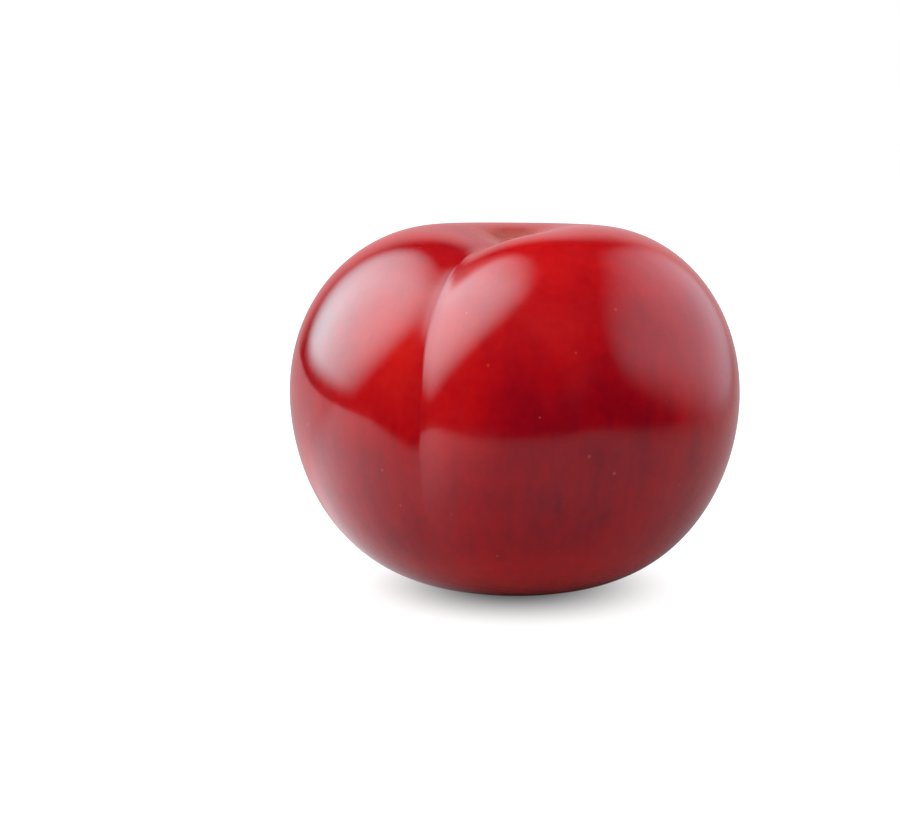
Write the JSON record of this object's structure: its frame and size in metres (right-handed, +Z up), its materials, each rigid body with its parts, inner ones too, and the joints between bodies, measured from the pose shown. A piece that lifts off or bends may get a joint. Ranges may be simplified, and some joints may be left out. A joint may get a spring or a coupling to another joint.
{
  "type": "plum",
  "caption": "Whole ripe red plum, picked without its stem, with a suture groove down one side and a hollow stem end; rests on a small flat.",
  "frame": {"origin": "on the surface the plum rests on, under the middle of the box around it", "axes": "+Z up, from the blossom end towards the stem end; -Y towards the suture groove; +X towards one cheek; the stem axis leans back 7 degrees from +Z, towards +Y and a little towards -X"},
  "size_m": [0.0618, 0.059, 0.0508],
  "materials": {
    "skin": "waxy crimson plum skin, smooth and semi-gloss, with fine pale dots"
  },
  "bodies": {
    "root": {"plum": "skin"}
  },
  "joints": []
}
